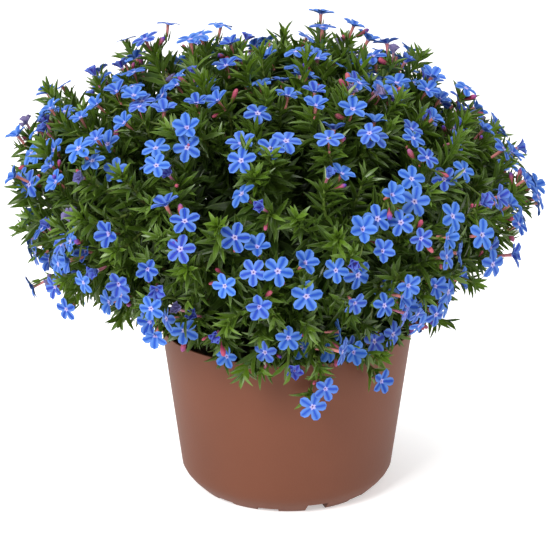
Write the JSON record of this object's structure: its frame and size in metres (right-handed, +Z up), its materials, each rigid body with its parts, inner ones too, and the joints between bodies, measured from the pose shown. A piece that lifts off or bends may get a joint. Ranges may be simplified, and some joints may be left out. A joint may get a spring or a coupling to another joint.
{
  "type": "potted lithodora",
  "caption": "Mounded lithodora plant with five-lobed blue blooms and narrow leaves, growing in a tapered round pot with a notched foot.",
  "frame": {"origin": "centre of the bounding box at the surface that the pot stands on", "axes": "+Z up along the pot's axis, -Y towards the side that the picture shows"},
  "size_m": [0.2714, 0.27, 0.2404],
  "materials": {
    "pot_plastic": "matte rose-brown moulded plastic",
    "potting_soil": "dark crumbly potting soil",
    "foliage": "matte green leaves and stems",
    "petals_blue": "matte blue petals"
  },
  "bodies": {
    "root": {"pot": "pot_plastic", "soil": "potting_soil", "leafy_stem_01": "foliage", "leafy_stem_02": "foliage", "leafy_stem_03": "foliage", "leafy_stem_04": "foliage", "leafy_stem_05": "foliage", "leafy_stem_06": "foliage", "leafy_stem_07": "foliage", "leafy_stem_08": "foliage", "leafy_stem_09": "foliage", "leafy_stem_10": "foliage", "leafy_stem_11": "foliage", "leafy_stem_12": "foliage", "leafy_stem_13": "foliage", "leafy_stem_14": "foliage", "leafy_stem_15": "foliage", "leafy_stem_16": "foliage", "leafy_stem_17": "foliage", "leafy_stem_18": "foliage", "leafy_stem_19": "foliage", "leafy_stem_20": "foliage", "leafy_stem_21": "foliage", "leafy_stem_22": "foliage", "leafy_stem_23": "foliage", "leafy_stem_24": "foliage", "leafy_stem_25": "foliage", "leafy_stem_26": "foliage", "leafy_stem_27": "foliage", "leafy_stem_28": "foliage", "leafy_stem_29": "foliage", "leafy_stem_30": "foliage", "leafy_stem_31": "foliage", "leafy_stem_32": "foliage", "leafy_stem_33": "foliage", "leafy_stem_34": "foliage", "leafy_stem_35": "foliage", "leafy_stem_36": "foliage", "leafy_stem_37": "foliage", "leafy_stem_38": "foliage", "leafy_stem_39": "foliage", "leafy_stem_40": "foliage", "leafy_stem_41": "foliage", "leafy_stem_42": "foliage", "leafy_stem_43": "foliage", "leafy_stem_44": "foliage", "leafy_stem_45": "foliage", "leafy_stem_46": "foliage"}
  },
  "joints": []
}
